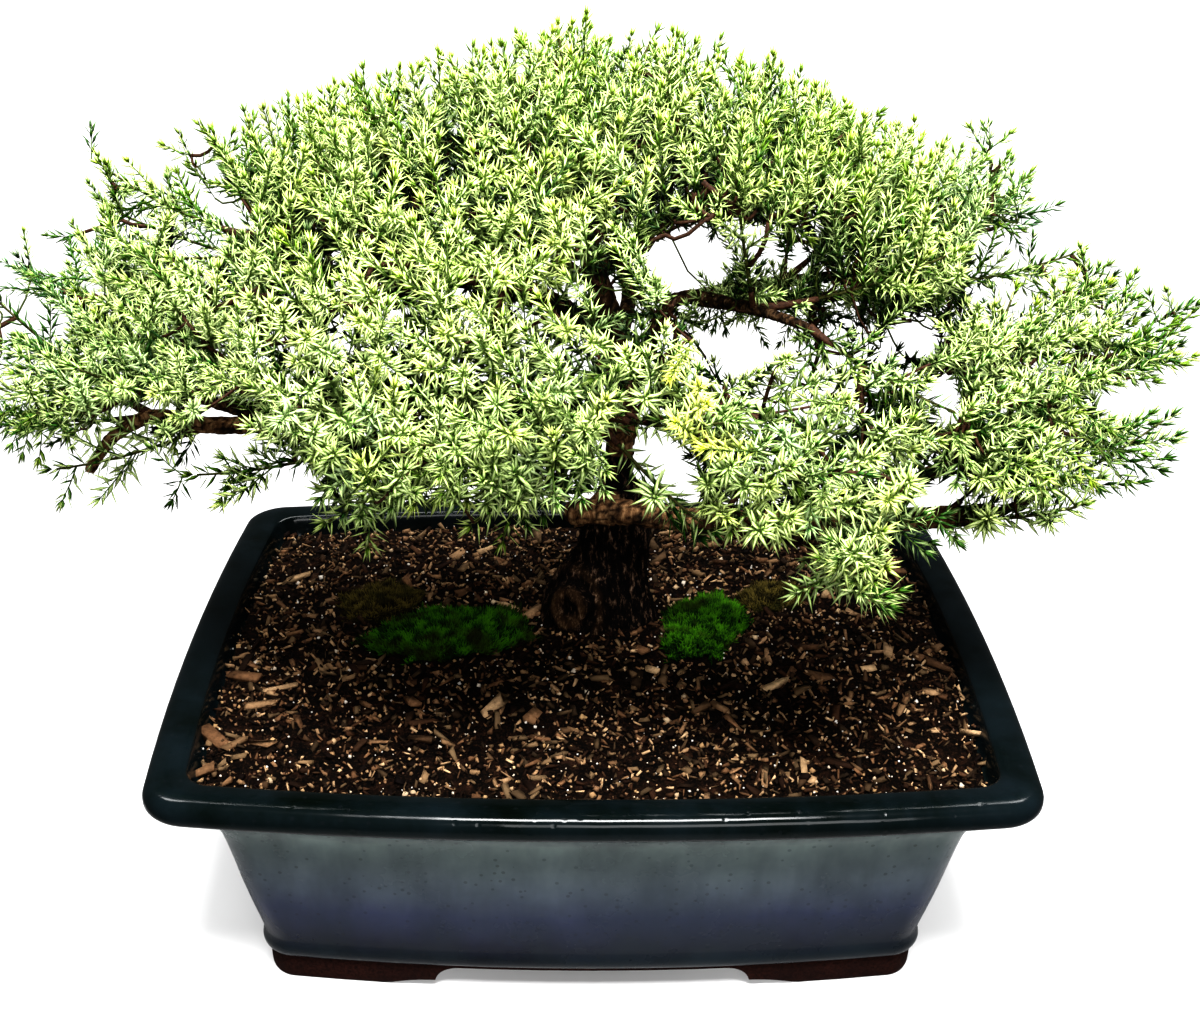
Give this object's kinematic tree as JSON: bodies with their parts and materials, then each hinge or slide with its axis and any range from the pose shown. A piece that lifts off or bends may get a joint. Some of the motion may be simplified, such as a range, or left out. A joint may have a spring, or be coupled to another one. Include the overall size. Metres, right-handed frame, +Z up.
{
  "type": "potted bonsai tree",
  "caption": "Juniper bonsai with a broad crown of short sharp needles on spreading limbs, growing in a low glazed oblong pot with mossy soil.",
  "frame": {"origin": "middle of the bottom of the bounding box, on the surface that the pot's feet stand on", "axes": "+X to the right along the pot's long side, +Y to the back, +Z up"},
  "size_m": [0.2938, 0.1684, 0.2082],
  "materials": {
    "glaze": "satin",
    "drain_mesh": "matte",
    "soil": "matte",
    "live_moss": "matte",
    "dry_moss": "matte",
    "bark": "matte",
    "needles": "satin"
  },
  "bodies": {
    "root": {"pot": "glaze", "drain_screen_left": "drain_mesh", "drain_screen_right": "drain_mesh", "soil": "soil", "moss_left": "live_moss", "moss_right": "live_moss", "moss_dry_left": "dry_moss", "moss_dry_right": "dry_moss", "trunk": "bark", "spray_01": "needles", "spray_02": "needles", "spray_03": "needles", "spray_04": "needles", "spray_05": "needles", "spray_06": "needles", "spray_07": "needles", "spray_08": "needles", "spray_09": "needles", "spray_10": "needles", "spray_11": "needles", "spray_12": "needles", "spray_13": "needles", "spray_14": "needles", "spray_15": "needles", "spray_16": "needles", "spray_17": "needles", "spray_18": "needles", "spray_19": "needles", "spray_20": "needles", "spray_21": "needles", "spray_22": "needles", "spray_23": "needles", "spray_24": "needles", "spray_25": "needles", "spray_26": "needles", "spray_27": "needles", "spray_28": "needles", "spray_29": "needles", "spray_30": "needles", "spray_31": "needles", "spray_32": "needles", "spray_33": "needles", "spray_34": "needles", "spray_35": "needles", "spray_36": "needles", "spray_37": "needles", "spray_38": "needles", "spray_39": "needles", "spray_40": "needles", "spray_41": "needles", "spray_42": "needles", "spray_43": "needles", "spray_44": "needles", "spray_45": "needles", "spray_46": "needles", "spray_47": "needles", "spray_48": "needles", "spray_49": "needles"}
  },
  "joints": []
}
